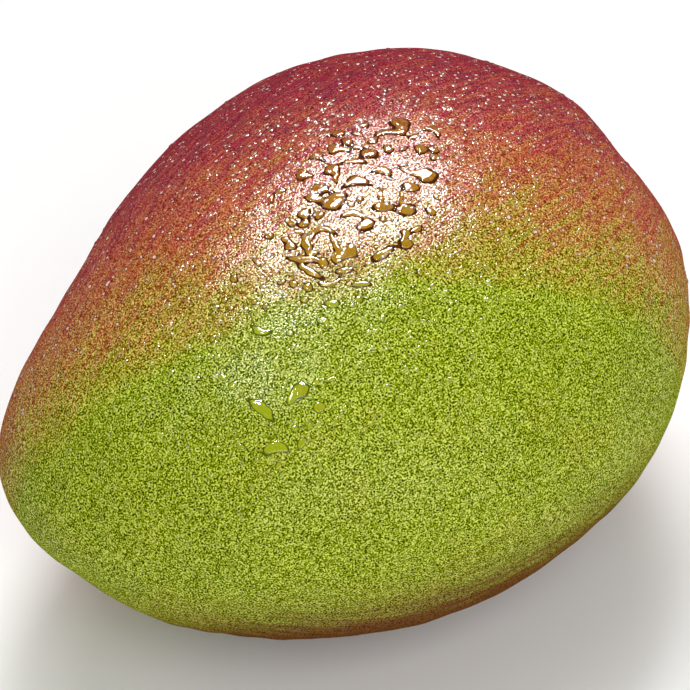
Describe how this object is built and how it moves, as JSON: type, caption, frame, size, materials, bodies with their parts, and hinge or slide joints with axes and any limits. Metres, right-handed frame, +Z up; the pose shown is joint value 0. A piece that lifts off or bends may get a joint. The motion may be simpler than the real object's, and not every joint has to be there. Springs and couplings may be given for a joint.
{
  "type": "mango",
  "caption": "Whole ripe mango lying on one cheek, with a beak, a shallow stem basin with its woody scar, and a small flat spot to rest on.",
  "frame": {"origin": "under the middle of the fruit, on the surface that it rests on", "axes": "+X along the fruit towards the stem end, +Y towards the belly with its beak, +Z up through the two cheeks"},
  "size_m": [0.119, 0.0964, 0.0806],
  "materials": {
    "skin": "waxy skin with fine pores: yellow-green below, crimson blush above, ochre between, wet with water beads"
  },
  "bodies": {
    "root": {"mango": "skin"}
  },
  "joints": []
}
